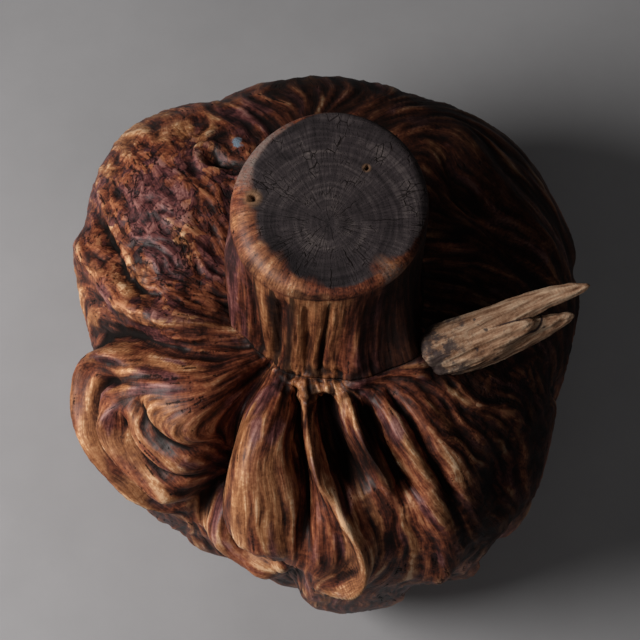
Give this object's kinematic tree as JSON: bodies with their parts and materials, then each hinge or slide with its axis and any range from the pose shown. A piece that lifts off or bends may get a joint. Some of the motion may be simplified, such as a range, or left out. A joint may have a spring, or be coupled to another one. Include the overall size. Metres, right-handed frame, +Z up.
{
  "type": "oak burl",
  "caption": "Cleaned oak burl with deep folds of twisted grain, a sawn stub on top, a broken twig at its side and a flat sawn base.",
  "frame": {"origin": "middle of the flat sawn base", "axes": "+Z up out of the base towards the sawn stub; +X towards the side the broken twig points to; -Y towards the front, where the deep folds run down"},
  "size_m": [0.2512, 0.2738, 0.2279],
  "materials": {
    "burl_wood": "oiled satin, dark in the folds and golden on the worn ridges"
  },
  "bodies": {
    "root": {"oak_burl": "burl_wood"}
  },
  "joints": []
}
